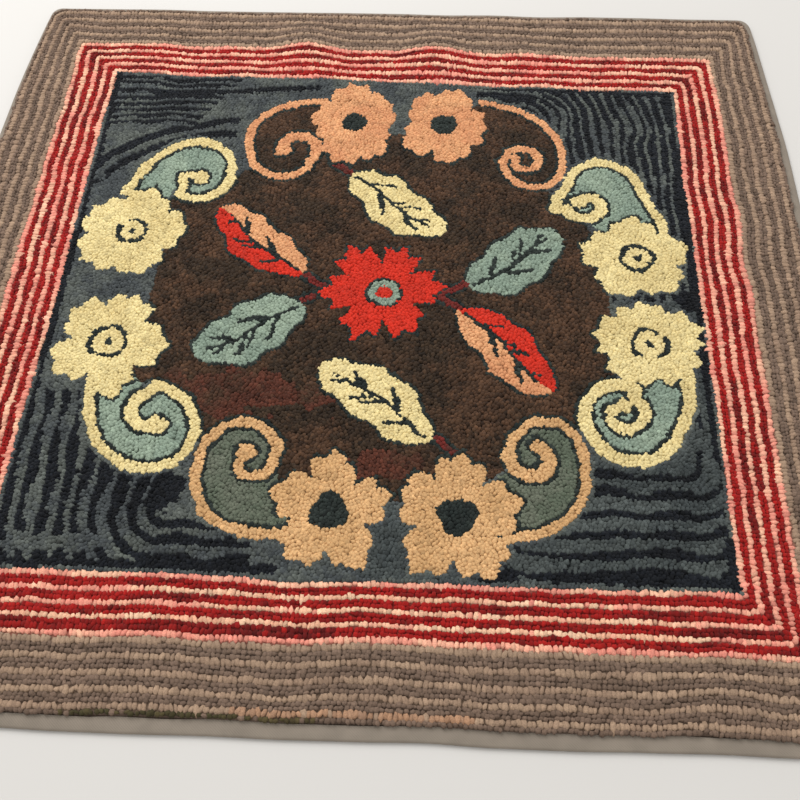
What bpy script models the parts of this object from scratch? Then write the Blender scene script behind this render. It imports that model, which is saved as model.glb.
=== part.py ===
"""A square hooked rug lying on a floor, in metres, +Z up, its origin at the middle of its underside.

Two pieces: the hooked panel (foundation cloth with its pile and turned hem) and the binding tape that
wraps its edge. Both are lofted from rings that follow the rug's outline inwards, so that every hooked
row of the border is a raised rib. The back border is lifted in soft ripples.
"""
import math

import bmesh
import bpy

# Outline of the rug, seen from above
WIDTH = 0.914
DEPTH = 0.921
CORNER_RADIUS = 0.016
INNER_CORNER_RADIUS = 0.0015
CORNERS_SQUARE_AT = 0.050

# How far in from the outer edge each band of the border ends, on each side
BANDS = {
    "front": {"edge": 0.0, "tape": 0.0135, "red": 0.0805, "field": 0.1385, "middle": DEPTH / 2},
    "right": {"edge": 0.0, "tape": 0.0100, "red": 0.0720, "field": 0.1250, "middle": WIDTH / 2},
    "back": {"edge": 0.0, "tape": 0.0080, "red": 0.0770, "field": 0.1345, "middle": DEPTH / 2},
    "left": {"edge": 0.0, "tape": 0.0060, "red": 0.0670, "field": 0.1210, "middle": WIDTH / 2},
}

# Rows of loops from the field out to the red band's edge, then out to the tape: colour, relative width
RED_BAND_ROWS = (("pink", 4.5), ("red", 7.3)) * 4 + (("pink", 4.5),)
TAUPE_BAND_ROWS = (("taupe_light", 6.3), ("taupe_dark", 8.0)) * 4 + (("taupe_light", 6.3), ("taupe_dark", 3.5))

# Plain rings: shares of the way from the field's edge to its middle, and insets of the underside
FIELD_SHARES = (0.85, 0.55, 0.30, 0.08)
UNDERSIDE_INSETS = (0.050, 0.079, 0.105, 0.150, 0.320)

# Heights above the floor
CROWN_HEIGHT = 0.0085
VALLEY_HEIGHT = 0.0074
FIELD_HEIGHT = 0.0082
EDGE_ROW_HEIGHT = 0.0072

# Tape, folded over the edge and sewn down
TAPE_THICKNESS = 0.0011
TAPE_TOP = 0.0044
TAPE_UNDER_LEG = 0.022
TAPE_JOIN_GAP = 0.0004
TAPE_JOIN_SLANT = 0.45
GAP = 0.0003

# Plan unevenness: the back corners draw in, and the back of the panel runs out of square
BACK_CORNER_DRAW_IN = 0.0145
DRAW_IN_FROM = 0.12
OUT_OF_SQUARE = {"field": 0.011, "red": 0.006}

# Ripples: middle, half width along the border, reach towards the field and the edge, height
RIPPLES = (
    {"x": -0.107, "y": 0.385, "half_width": 0.056, "reach_in": 0.085, "reach_out": 0.070, "height": 0.0090},
    {"x": 0.050, "y": 0.382, "half_width": 0.052, "reach_in": 0.080, "reach_out": 0.070, "height": 0.0080},
    {"x": 0.170, "y": 0.385, "half_width": 0.060, "reach_in": 0.050, "reach_out": 0.060, "height": 0.0030},
)

# Steps along each side, from one corner to the next: the back has more, for its ripples
FRONT_STEPS = ((-1.0, -0.547, 2), (-0.547, 1.0, 7))
SIDE_STEPS = ((-1.0, 1.0, 8),)
BACK_STEPS = ((-1.0, -0.52, 3), (-0.52, 0.42, 20), (0.42, 1.0, 3))
CORNER_STEPS = 4
JOIN_STEP = 2

COLOURS = {
    "taupe_light": (0.366, 0.292, 0.216, 1.0),
    "taupe_dark": (0.188, 0.140, 0.116, 1.0),
    "pink": (0.823, 0.332, 0.262, 1.0),
    "red": (0.361, 0.016, 0.021, 1.0),
    "slate": (0.066, 0.084, 0.092, 1.0),
    "tape_grey": (0.238, 0.224, 0.200, 1.0),
}
WOOL_ROUGHNESS = 0.95
TAPE_ROUGHNESS = 0.85


def smooth(value):
    """Eases from 0 to 1."""
    value = min(max(value, 0.0), 1.0)
    return value * value * (3.0 - 2.0 * value)


def side_fractions(steps):
    """Places along a side, from its first corner to its last, where -1 and 1 are the corners."""
    places = []
    for start, end, count in steps:
        places += [start + (end - start) * i / count for i in range(count)]
    return places + [1.0]


def ring(offsets, radius):
    """A rounded rectangle, set in from each side by its own offset, anticlockwise from the front left."""
    left = -WIDTH / 2 + offsets["left"] + radius
    right = WIDTH / 2 - offsets["right"] - radius
    front = -DEPTH / 2 + offsets["front"] + radius
    back = DEPTH / 2 - offsets["back"] - radius
    corners = ((right, front), (right, back), (left, back), (left, front))
    side_steps = (SIDE_STEPS, BACK_STEPS, SIDE_STEPS, FRONT_STEPS)
    points = []
    for i, (cx, cy) in enumerate(corners):
        begin = math.radians(90 * i - 90)
        for j in range(CORNER_STEPS):
            angle = begin + math.radians(90) * j / CORNER_STEPS
            points.append((cx + radius * math.cos(angle), cy + radius * math.sin(angle)))
        end = begin + math.radians(90)
        nx, ny = corners[(i + 1) % 4]
        out = (radius * math.cos(end), radius * math.sin(end))
        for place in side_fractions(side_steps[i])[:-1]:
            share = (place + 1) / 2
            points.append((cx + (nx - cx) * share + out[0], cy + (ny - cy) * share + out[1]))
    return points


def even(offset):
    """The same offset on all four sides."""
    return {side: offset for side in BANDS}


def between(outer, inner, share, inset=0.0):
    """Offsets that run from one band's edge (share 0) to the next one's (share 1) on each side."""
    return {side: band[outer] + (band[inner] - band[outer]) * share + inset for side, band in BANDS.items()}


def mean(offsets):
    """One offset that stands for all four sides."""
    return sum(offsets.values()) / len(offsets)


def corner_radius(offsets):
    """Corners are round at the edge and nearly square further in."""
    roundness = max(1 - mean(offsets) / CORNERS_SQUARE_AT, 0.0)
    return INNER_CORNER_RADIUS + (CORNER_RADIUS - INNER_CORNER_RADIUS) * roundness


def plan(x, y):
    """Moves a point of the true square to where it lies in the uneven rug."""
    red_at = mean(between("edge", "red", 1.0))
    beyond_red = (abs(x) - (WIDTH / 2 - red_at)) / red_at
    towards_back = (y - DRAW_IN_FROM) / (DEPTH / 2 - CORNER_RADIUS - DRAW_IN_FROM)
    drawn = BACK_CORNER_DRAW_IN * max(beyond_red, 0.0) * min(max(towards_back, 0.0), 1.0) ** 2
    field_edge = DEPTH / 2 - BANDS["back"]["field"]
    red_edge = DEPTH / 2 - BANDS["back"]["red"]
    if y < field_edge:
        skew = OUT_OF_SQUARE["field"] * smooth(y / field_edge)
    elif y < red_edge:
        share = (y - field_edge) / (red_edge - field_edge)
        skew = OUT_OF_SQUARE["field"] + (OUT_OF_SQUARE["red"] - OUT_OF_SQUARE["field"]) * share
    else:
        share = (y - red_edge) / (DEPTH / 2 - red_edge)
        skew = OUT_OF_SQUARE["red"] * (1 - share)
    return x - math.copysign(drawn, x), y - skew * x / (WIDTH / 2)


def lift(x, y):
    """How far the ripples lift the rug off the floor."""
    height = 0.0
    for ripple in RIPPLES:
        along = (x - ripple["x"]) / ripple["half_width"]
        away = y - ripple["y"]
        across = away / (ripple["reach_out"] if away > 0 else ripple["reach_in"])
        if abs(along) < 1 and abs(across) < 1:
            swell = math.cos(math.pi * along / 2) ** 2 * math.cos(math.pi * across / 2) ** 2
            height += ripple["height"] * swell
    return height


def place(point, height):
    """A point of a ring in the rug's real position."""
    x, y = plan(*point)
    return x, y, height + lift(x, y)


def make_material(name):
    material = bpy.data.materials.new(name)
    material.use_nodes = True
    shader = material.node_tree.nodes["Principled BSDF"]
    shader.inputs["Base Color"].default_value = COLOURS[name]
    shader.inputs["Metallic"].default_value = 0.0
    shader.inputs["Roughness"].default_value = TAPE_ROUGHNESS if name == "tape_grey" else WOOL_ROUGHNESS
    return material


def add_object(name, mesh_data, collection):
    mesh = bpy.data.meshes.new(name)
    bmesh.ops.triangulate(mesh_data, faces=mesh_data.faces[:])
    bmesh.ops.recalc_face_normals(mesh_data, faces=mesh_data.faces[:])
    mesh_data.to_mesh(mesh)
    mesh_data.free()
    piece = bpy.data.objects.new(name, mesh)
    collection.objects.link(piece)
    return piece


def join_lines(mesh, line, beside, steps, line_is_outer):
    """Triangles between two lines, always split from the outer line forwards, so neighbours nest."""
    outer, inner = (line, beside) if line_is_outer else (beside, line)
    faces = []
    for k in range(steps):
        after = (k + 1) % len(line)
        faces.append(mesh.faces.new((outer[k], outer[after], inner[after])))
        faces.append(mesh.faces.new((outer[k], inner[after], inner[k])))
    return faces


def band_rows(outer, inner, stripes, edge_crown=CROWN_HEIGHT):
    """Rings of a band's raised rows, from its inner edge out: each row's crown, then its outer valley."""
    total = sum(width for _colour, width in stripes)
    rows = []
    done = 0.0
    for i, (colour, width) in enumerate(stripes):
        crown = edge_crown if i == len(stripes) - 1 else CROWN_HEIGHT
        rows.append((between(outer, inner, 1 - (done + width / 2) / total), crown, colour))
        done += width
        rows.append((between(outer, inner, 1 - done / total), VALLEY_HEIGHT, colour))
    return rows


def edge_and_underside():
    """Rings of the pile's side wall, the thin hem inside the tape, and the flat back of the cloth."""
    hem_top = TAPE_TOP - TAPE_THICKNESS - GAP
    hem_bottom = TAPE_THICKNESS + GAP
    hem_end = even(TAPE_THICKNESS + 2 * GAP)
    wall = between("edge", "tape", 1.0, GAP)
    step = even(TAPE_UNDER_LEG + GAP)
    rows = [
        (wall, TAPE_TOP, "taupe_dark"),
        (wall, hem_top, "taupe_dark"),
        (hem_end, hem_top, "slate"),
        (hem_end, hem_bottom, "slate"),
        (step, hem_bottom, "slate"),
        (step, 0.0, "slate"),
    ]
    return rows + [(even(inset), 0.0, "slate") for inset in UNDERSIDE_INSETS]


def panel_rows():
    """The panel's rings with their heights and colours, from the middle of its face to that of its back."""
    rows = [(between("field", "middle", share), FIELD_HEIGHT, "slate") for share in FIELD_SHARES]
    rows.append((between("red", "field", 1.0), VALLEY_HEIGHT, "slate"))
    rows += band_rows("red", "field", RED_BAND_ROWS)
    rows += band_rows("tape", "red", TAUPE_BAND_ROWS, EDGE_ROW_HEIGHT)[:-1]
    return rows + edge_and_underside()


def make_panel(collection):
    """Lofts the panel's rings into one closed body with a fan at each middle."""
    mesh = bmesh.new()
    rows = panel_rows()
    names = ["slate", "pink", "red", "taupe_light", "taupe_dark"]
    loops = []
    for offsets, height, _colour in rows:
        points = ring(offsets, corner_radius(offsets))
        loops.append([mesh.verts.new(place(point, height)) for point in points])
    count = len(loops[0])
    for i in range(len(loops) - 1):
        offsets, _height, colour = rows[i + 1]
        line_is_outer = mean(rows[i][0]) < mean(offsets)
        for face in join_lines(mesh, loops[i], loops[i + 1], count, line_is_outer):
            face.material_index = names.index(colour)
    for loop, height in ((loops[0], FIELD_HEIGHT), (loops[-1], 0.0)):
        middle = mesh.verts.new((0.0, 0.0, height))
        for k in range(count):
            mesh.faces.new((middle, loop[k], loop[(k + 1) % count]))
    panel = add_object("hooked_pile", mesh, collection)
    for name in names:
        panel.data.materials.append(make_material(name))
    return panel


def tape_section():
    """The folded tape's section from its sewn edge on top, round the nose, to its edge underneath.

    Each row pairs a point of the outer face with one of the inner face. A point lies in from the rug's
    edge by a share of the visible width plus an inset.
    """
    under_top = TAPE_TOP - TAPE_THICKNESS
    inner = TAPE_THICKNESS + GAP
    return (
        {"share": 1.0, "outer": (0.0, TAPE_TOP - 0.0002), "inner": (0.0, under_top)},
        {"share": 0.5, "outer": (0.0, TAPE_TOP), "inner": (0.0, under_top)},
        {"share": 0.0, "outer": (0.0022, TAPE_TOP - 0.0004), "inner": (0.0022, under_top)},
        {"share": 0.0, "outer": (0.0004, TAPE_TOP - 0.0014), "inner": (inner, under_top)},
        {"share": 0.0, "outer": (0.0, TAPE_TOP / 2), "inner": (inner, TAPE_TOP / 2)},
        {"share": 0.0, "outer": (0.0006, 0.0006), "inner": (inner, TAPE_THICKNESS)},
        {"share": 0.0, "outer": (0.0022, 0.0), "inner": (0.0022, TAPE_THICKNESS)},
        {"share": 0.0, "outer": (TAPE_UNDER_LEG, 0.0), "inner": (TAPE_UNDER_LEG, TAPE_THICKNESS)},
    )


def tape_line(offsets):
    """One long line of the tape, which starts and ends at the slanted join."""
    points = ring(offsets, corner_radius(offsets))
    join = len(points) - len(side_fractions(FRONT_STEPS)) + 1 + JOIN_STEP
    points = points[join:] + points[:join]
    x, y = points[0]
    slant = TAPE_JOIN_SLANT * offsets["front"]
    first = (x + TAPE_JOIN_GAP + slant, y)
    last = (x + slant, y)
    return [first] + points[1:] + [last]


def tape_face(mesh, side):
    """The outer or the inner face of the tape, as lines of points joined by triangles."""
    lines = []
    reach = []
    for row in tape_section():
        inset, height = row[side]
        offsets = between("edge", "tape", row["share"], inset)
        lines.append([mesh.verts.new(place(point, height)) for point in tape_line(offsets)])
        reach.append(mean(offsets))
    for i in range(len(lines) - 1):
        join_lines(mesh, lines[i], lines[i + 1], len(lines[i]) - 1, reach[i] < reach[i + 1])
    return lines


def make_tape(collection):
    """Sweeps the tape's folded section along the edge, from one end of the join round to the other."""
    mesh = bmesh.new()
    outer = tape_face(mesh, "outer")
    inner = tape_face(mesh, "inner")
    for end in (0, -1):
        join_lines(mesh, outer[end], inner[end], len(outer[end]) - 1, True)
        outer_end = [line[end] for line in outer]
        inner_end = [line[end] for line in inner]
        join_lines(mesh, outer_end, inner_end, len(outer) - 1, True)
    tape = add_object("binding_tape", mesh, collection)
    tape.data.materials.append(make_material("tape_grey"))
    return tape


def clear_scene():
    for thing in list(bpy.data.objects):
        bpy.data.objects.remove(thing, do_unlink=True)


def main():
    clear_scene()
    collection = bpy.data.collections.new("hooked_rug")
    bpy.context.scene.collection.children.link(collection)
    make_panel(collection)
    make_tape(collection)


main()
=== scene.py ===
"""Looks of a square hooked rug: every hooked loop, the cloth it is hooked through, and the edge tape.

The pattern is drawn by formulas on a fine raster, rows of loops are laid along its contours, and each
loop becomes a small dome of wool. Metres, +Z up, in the CAD model's own frame.
"""
import math
from types import SimpleNamespace as Values

import bpy
import numpy as np
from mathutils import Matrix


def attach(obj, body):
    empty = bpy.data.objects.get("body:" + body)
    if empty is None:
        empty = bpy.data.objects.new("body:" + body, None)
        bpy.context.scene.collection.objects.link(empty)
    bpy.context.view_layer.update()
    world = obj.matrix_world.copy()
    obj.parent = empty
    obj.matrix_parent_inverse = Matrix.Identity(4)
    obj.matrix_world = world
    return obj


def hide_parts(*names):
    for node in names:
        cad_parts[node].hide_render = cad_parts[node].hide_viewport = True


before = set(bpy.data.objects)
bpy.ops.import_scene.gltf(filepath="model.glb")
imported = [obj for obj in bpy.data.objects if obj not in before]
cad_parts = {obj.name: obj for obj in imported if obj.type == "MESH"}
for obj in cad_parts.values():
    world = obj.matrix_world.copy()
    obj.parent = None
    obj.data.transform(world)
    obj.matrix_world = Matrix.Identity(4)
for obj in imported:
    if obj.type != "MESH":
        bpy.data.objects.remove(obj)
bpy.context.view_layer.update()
BODY = "root"


def table(columns, *rows):
    """A short table with named columns, and the values of a row in each of its entries."""
    return tuple(Values(**dict(zip(columns.split(), row))) for row in rows)


def keyed_table(columns, *rows):
    """A table of dictionaries, each kept under its row's first value."""
    return {row[0]: dict(zip(columns.split(), row)) for row in rows}


# Sizes that the CAD source uses, repeated here
WIDTH = 0.914
DEPTH = 0.921
CORNER_RADIUS = 0.016
INNER_CORNER_RADIUS = 0.0015
CORNERS_SQUARE_AT = 0.050
CORNER_POINTS = 9
BANDS = keyed_table(
    "side edge tape red field",
    ("front", 0.0, 0.0135, 0.0805, 0.1385),
    ("right", 0.0, 0.0100, 0.0720, 0.1250),
    ("back", 0.0, 0.0080, 0.0770, 0.1345),
    ("left", 0.0, 0.0060, 0.0670, 0.1210),
)
RED_BAND_ROWS = (("pink", 4.5), ("red", 7.3)) * 4 + (("pink", 4.5),)
TAUPE_BAND_ROWS = (("taupe_light", 6.3), ("taupe_dark", 8.0)) * 4
TAUPE_BAND_ROWS += (("taupe_light", 6.3), ("taupe_dark", 3.5))
SIDE_WIDTHS = {"pink": 5.5, "red": 6.5, "taupe_light": 6.6, "taupe_dark": 7.7}
CROWN_HEIGHT = 0.0085
FIELD_HEIGHT = 0.0082
TAPE_THICKNESS = 0.0011
TAPE_TOP = 0.0044
TAPE_UNDER_LEG = 0.022
GAP = 0.0003
BACK_CORNER_DRAW_IN = 0.0145
DRAW_IN_FROM = 0.12
FIELD_SKEW = 0.011
RED_SKEW = 0.006
RIPPLES = table(
    "x y half_width reach_in reach_out height",
    (-0.107, 0.385, 0.056, 0.085, 0.070, 0.0090),
    (0.050, 0.382, 0.052, 0.080, 0.070, 0.0080),
    (0.170, 0.385, 0.060, 0.050, 0.060, 0.0030),
)

# Camera, as the photograph was taken
CAMERA_AT = (0.0623, -0.7197, 0.8982)
CAMERA_TURN = (33.52, 0.64, 2.39)
CAMERA_LENS = 49.5
CAMERA_SENSOR = 36.0
CAMERA_NEAR = 0.05

# Yarns: main and second colour as sRGB, how far loops differ in lightness, and the second colour's share
# and how patchy it is
YARN_COLUMNS = "main second spread share patchy"
YARNS = keyed_table(
    "name " + YARN_COLUMNS,
    ("slate", "3C4041", "50544F", 0.16, 0.5, 0.8),
    ("dark_slate", "363B3B", "454A48", 0.16, 0.5, 0.7),
    ("navy", "090B0F", "13161B", 0.25, 0.5, 0.5),
    ("outline", "1B211F", "272D29", 0.22, 0.5, 0.5),
    ("brown", "2E2217", "442F20", 0.30, 0.4, 0.9),
    ("russet", "4C281C", "3C2A1D", 0.20, 0.4, 0.8),
    ("cream", "D6C48D", "C8B47D", 0.07, 0.5, 0.6),
    ("peach", "CB9468", "BF845C", 0.08, 0.5, 0.7),
    ("sand", "C89E6E", "B78F61", 0.08, 0.5, 0.7),
    ("sage", "849280", "768576", 0.10, 0.5, 0.8),
    ("olive", "5D6153", "51594A", 0.08, 0.5, 0.6),
    ("scarlet", "C02B1A", "AC2718", 0.05, 0.5, 0.6),
    ("stem", "641F1A", "46231C", 0.12, 0.4, 0.5),
    ("pink", "D68674", "E2AE90", 0.10, 0.35, 0.7),
    ("buff", "DEB696", "D69E80", 0.10, 0.4, 0.7),
    ("red", "941814", "64120F", 0.12, 0.2, 0.9),
    ("maroon", "581210", "801815", 0.14, 0.3, 0.7),
    ("taupe_light", "99806A", "8A725F", 0.08, 0.4, 0.6),
    ("taupe_dark", "725E50", "645245", 0.09, 0.4, 0.6),
    ("apricot", "A27C60", "937560", 0.08, 0.4, 0.6),
    ("moss", "403A24", "52472E", 0.16, 0.4, 0.6),
)
CODES = {name: code for code, name in enumerate(YARNS)}

# Colour of loops: broad and fine patches, change from loop to loop, and how dark or light a loop gets. Here
# and below, what wavers has two values: how far it goes to each side, and the grain of its noise
BROAD_PATCHES = (1.0, 0.030)
FINE_PATCHES = (0.6, 0.011)
LOOP_CHANGE = 0.18
LIGHT_LIMITS = (0.45, 1.7)

# Lattice that noise is drawn from, cell of the pattern's raster, and the search for its nearest edge: a
# place outside the raster and the first step
LATTICE = 128
CELL = 0.00075
NOWHERE = -9999
FLOOD_STEP = 64

# Hooking of the field: pitch of rows, of loops along them and of loops that fill gaps, rows that follow
# outlines on the ground and in the brown middle, how near its row's line a loop is set, and how uneven loops
# are. Rows that change by more than "steep" between cells meet at a seam. Long and wide are a mean and a
# spread, and domes are ragged and lean
ROW_PITCH = 0.0034
LOOP_PITCH = 0.0031
FILL_PITCH = 0.0026
GROUND_CONTOURS = 1.0
BROWN_CONTOURS = 2.0
ON_LINE = 0.13
HOOKING = Values(turn=0.35, jitter=0.00045, row_light=(0.10, 1.0), row_step=0.37, steep=0.5)
FIELD_LOOP = Values(long=(0.0033, 0.0005), wide=(0.0028, 0.0003), tall=0.0018, tall_change=0.00013)
DOME_SIDES = 5
RAGGED = 0.10
LEAN = 0.00030

# How the drawing is warped, and how far round its middle each kind of motif is painted
WARPS = ((0.0016, 0.013), (0.0012, 0.0045))
PART_REACH = Values(stem=0.06, scroll=0.11, motif=0.09)

# Flowers: yarn, middle, radius each way, number of petals, turn of the first one, depth of the notches
# between petals and between the points of a petal, size of the eye and where its first lobe points. Then
# the points of a petal, how blunt it is and how its length differs, and the lines and dots of the eyes
FLOWERS = table(
    "yarn x y rx ry petals turn notch tooth eye lobe",
    ("cream", -0.272, 0.079, 0.062, 0.067, 5, 3, 0.16, 0.10, 0.0150, 60),
    ("cream", -0.270, -0.070, 0.060, 0.068, 5, -3, 0.24, 0.11, 0.0190, 80),
    ("cream", 0.271, 0.058, 0.060, 0.058, 5, 20, 0.17, 0.10, 0.0170, 30),
    ("cream", 0.275, -0.055, 0.060, 0.058, 5, 24, 0.16, 0.13, 0.0180, 100),
    ("peach", -0.041, 0.255, 0.050, 0.070, 5, 30, 0.10, 0.10, 0.0155, 0),
    ("peach", 0.063, 0.255, 0.051, 0.067, 5, 68, 0.18, 0.09, 0.0155, 40),
    ("sand", -0.032, -0.254, 0.058, 0.065, 5, 16, 0.28, 0.12, 0.0180, 90),
    ("sand", 0.085, -0.256, 0.062, 0.070, 5, 14, 0.24, 0.12, 0.0185, -90),
    ("scarlet", 0.003, 0.006, 0.067, 0.071, 6, 6, 0.30, 0.20, 0.0, 0),
)
PETAL_POINTS = 3
PETAL_BLUNTNESS = 2.2
PETAL_LENGTHS = (-0.06, 0.05)
EYE_LINE = Values(half=0.0025, dot=0.0040, grain=0.009, broken_below=-0.65)
EYE_LOBES = {"cream": 0.05, "peach": 0.04, "sand": 0.12, "scarlet": 0.0}
RED_EYE = Values(x=0.005, y=0.003)
RED_EYE_RINGS = ((0.0192, "outline"), (0.0165, "sage"), (0.0085, "scarlet"))

# Scrolls: an oval turn that starts far out at a flower, and a small curl it ends in. Middle and size of the
# turn, direction of its start, way it winds, how far out it starts, how oval and where widest, degrees it
# runs; middle and radius of the curl, where it starts, degrees it runs, how far it closes in, its end's knob
# and half its width; half width of the turn's band, yarns, and the flower
SCROLLS = table(
    "x y size start winds far oval widest run "
    "curl radius begin turn closes knob thick half band fill flower",
    (-0.212, 0.172, 0.040, 205, -1, 2.2, 0.07, 285, 320, (-0.209, 0.162), 0.020, 215, 60, 1.0, 0.0100,
     0.0050, 0.0055, "cream", "sage", FLOWERS[0]),
    (-0.121, 0.213, 0.042, 60, 1, 2.1, 0.13, 220, 290, (-0.103, 0.212), 0.020, -15, 210, 0.1, 0.0090,
     0.0065, 0.0050, "peach", "brown", FLOWERS[4]),
    (0.162, 0.198, 0.036, 120, -1, 3.0, 0.12, 195, 305, (0.152, 0.200), 0.018, 155, 350, 0.6, 0.0050,
     0.0055, 0.0045, "peach", "brown", FLOWERS[5]),
    (0.226, 0.144, 0.041, -35, 1, 2.6, 0.28, 100, 240, (0.219, 0.131), 0.019, 190, 300, 0.5, 0.0090,
     0.0065, 0.0055, "cream", "sage", FLOWERS[2]),
    (-0.212, -0.168, 0.045, 150, 1, 1.6, 0.07, 155, 300, (-0.212, -0.150), 0.021, 110, 185, 0.1, 0.0100,
     0.0065, 0.0055, "cream", "sage", FLOWERS[1]),
    (-0.120, -0.210, 0.043, 300, -1, 1.8, 0.13, 210, 275, (-0.105, -0.202), 0.018, -40, 175, 0.3, 0.0095,
     0.0050, 0.0050, "sand", "olive", FLOWERS[6]),
    (0.166, -0.198, 0.041, 245, 1, 2.0, 0.15, 200, 280, (0.152, -0.192), 0.019, -150, 215, 0.2, 0.0070,
     0.0070, 0.0050, "sand", "olive", FLOWERS[7]),
    (0.244, -0.148, 0.040, 40, -1, 2.2, 0.08, 285, 330, (0.244, -0.137), 0.019, 60, 320, 0.7, 0.0085,
     0.0060, 0.0065, "cream", "sage", FLOWERS[3]),
)
SCROLL_START_FADE = 40.0
SCROLL_STEP = 6.0
CURL_POINTS = 28
SCROLL_LINE = 0.0036

# Leaves: base and tip, half width, yarns left and right of the rib as seen from the base. Their stems, the
# bend and scallops of a leaf, its veins as a place along the rib and a side, and the line round motifs
LEAVES = table(
    "base tip half left right",
    ((-0.039, 0.171), (0.064, 0.083), 0.030, "cream", "cream"),
    ((0.060, -0.173), (-0.050, -0.088), 0.030, "cream", "cream"),
    ((0.095, 0.011), (0.191, 0.089), 0.033, "sage", "sage"),
    ((-0.077, -0.016), (-0.180, -0.086), 0.034, "sage", "sage"),
    ((-0.084, 0.022), (-0.182, 0.115), 0.028, "scarlet", "peach"),
    ((0.086, -0.016), (0.177, -0.117), 0.028, "scarlet", "peach"),
)
STEMS = (
    ((-0.060, 0.188), (-0.036, 0.170)),
    ((0.080, -0.187), (0.053, -0.166)),
    ((-0.058, 0.010), (-0.092, 0.030)),
    ((-0.058, 0.000), (-0.085, -0.014)),
    ((0.062, 0.004), (0.095, 0.018)),
    ((0.062, 0.000), (0.092, -0.020)),
)
STEM_HALF = 0.0036
RIB_HALF = 0.0019
VEINS = ((0.20, 1), (0.34, -1), (0.52, 1), (0.66, -1))
LEAF = Values(bend=0.003, waves=2.4, bluntness=0.5, scallop=0.08, scallops=20.0)
RIB_RUN = Values(start=0.04, end=0.88)
VEIN = Values(half=1.6 * RIB_HALF, slope=1.2, gap=0.10, long=0.60, short=0.42)
HALO = 0.0034

# Brown middle: circles, zones of it in russet, and how their edges waver
MEDALLION = table(
    "x y radius",
    (0.0, -0.005, 0.240),
    (0.112, 0.220, 0.024),
    (0.195, -0.142, 0.018),
    (-0.220, 0.104, 0.026),
    (-0.220, -0.096, 0.024),
    (0.222, -0.092, 0.018),
)
RUSSET_ZONES = table(
    "x y rx ry",
    (-0.120, -0.128, 0.095, 0.026),
    (0.015, -0.205, 0.036, 0.016),
)
MEDALLION_WAVER = (0.004, 0.05)
RUSSET_WAVER = (0.5, 0.012)
RUSSET_EDGE = 0.9

# Ground: lines of dark rows round a corner point in each quarter, how they start, change, wave, break and
# end, arcs of them by the first scroll, a dark stroke at the back, plain ground, patches where lines run
# together, and dark bands along the edges
GROUND_LINES = table(
    "side x y period dark between",
    ((-1, 1), -0.400, 0.2435, 0.0105, 0.62, "slate"),
    ((1, 1), 0.152, 0.262, 0.0118, 0.54, "slate"),
    ((-1, -1), -0.180, -0.262, 0.0172, 0.48, "slate"),
    ((1, -1), 0.295, -0.192, 0.0200, 0.40, "dark_slate"),
)
LINES_FROM = 0.003
LINE_CHANGE = (0.30, 0.028)
WAVES = ((0.0042, 0.032), (0.0009, 0.010))
BREAKS = Values(grain=0.040, lines=-0.8, arcs=-0.6)
LINES_END = Values(x=-0.195, y=0.30, slant=0.6)
ARCS = Values(x=-0.176, y=0.056, near=0.173, far=0.203, period=0.0185, dark=0.5, above=0.150)
STROKE = Values(x=(-0.200, -0.140, -0.090), y=(0.302, 0.310, 0.314), half=0.0040)
PLAIN_MIDDLE = 0.10
PLAIN_LEFT = -0.130
PATCHES = table(
    "x y rx ry yarn",
    (-0.272, -0.293, 0.048, 0.009, "slate"),
    (-0.186, -0.238, 0.017, 0.024, "navy"),
    (0.152, 0.300, 0.024, 0.006, "navy"),
    (0.318, 0.002, 0.014, 0.016, "navy"),
    (-0.255, 0.300, 0.050, 0.005, "navy"),
)
PATCH_WAVER = (0.4, 0.012)
EDGE_LINES = table(
    "side near far x",
    ("front", 0.0040, 0.0130, (-0.40, -0.075)),
    ("front", 0.0040, 0.0130, (0.105, 0.40)),
    ("right", 0.0015, 0.0085, (-0.40, 0.40)),
    ("left", 0.0020, 0.0080, (-0.40, 0.40)),
    ("back", 0.0020, 0.0080, (0.165, 0.330)),
)
EDGE_BREAKS = Values(grain=0.05, below=-0.5)

# Rows of the brown middle run straight. Each kind of row is counted from a number of its own
STRAIGHT_SLANT = 0.35
STRAIGHT_WAVER = (0.004, 0.05)
GROUND_FROM = 100.0
STRAIGHT_FROM = 500.0

# Border: distance of loops along a row, how far they reach across it and how much that changes, wide rows
# of two lines, how uneven loops are, stretches in another yarn, a red row that is wider at one end, and
# places where the rows have opened
BORDER_ROWS = keyed_table(
    "yarn pitch reach change",
    ("pink", 0.0040, 0.82, 0.32),
    ("red", 0.0038, 0.76, 0.16),
    ("taupe_light", 0.0042, 0.76, 0.16),
    ("taupe_dark", 0.0042, 0.76, 0.16),
)
DOUBLE_ROW_FROM = 7.0
ROW_END = 0.999
BORDER_LOOP = Values(wobble=(0.0011, 0.022), jitter=0.00040, slide=0.12, turn=0.32,
                     long=0.15, wide=0.76, wide_change=0.12, tall=0.0030, tall_change=0.00028)
ROW_CHANGE_GRAIN = 0.016
STRETCHES = table(
    "row_yarn row left right yarn",
    ("pink", 6, -0.30, 0.02, "buff"),
    ("pink", 4, -0.12, 0.27, "buff"),
    ("pink", 2, -0.20, 0.22, "buff"),
    ("pink", 6, 0.05, 0.30, "buff"),
    ("red", 7, -0.14, -0.02, "maroon"),
    ("taupe_light", 8, -0.10, 0.10, "apricot"),
    ("taupe_dark", 9, -0.24, -0.03, "moss"),
)
STRETCH_SHARE = 0.92
WIDE_ROW = Values(share=0.22, shift=0.0028, x=0.02, over=0.14, thicker=0.35)
OPENINGS = table(
    "x y half gap",
    (-0.228, -0.398, 0.016, 0.0013),
    (0.012, -0.392, 0.010, 0.0010),
    (0.168, -0.412, 0.012, 0.0010),
)
OPENING_FADE = 0.006
DRIFT = Values(x=0.0020, y=0.0034, grain=0.060, at_edge=0.40, full_from=0.045)

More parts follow.
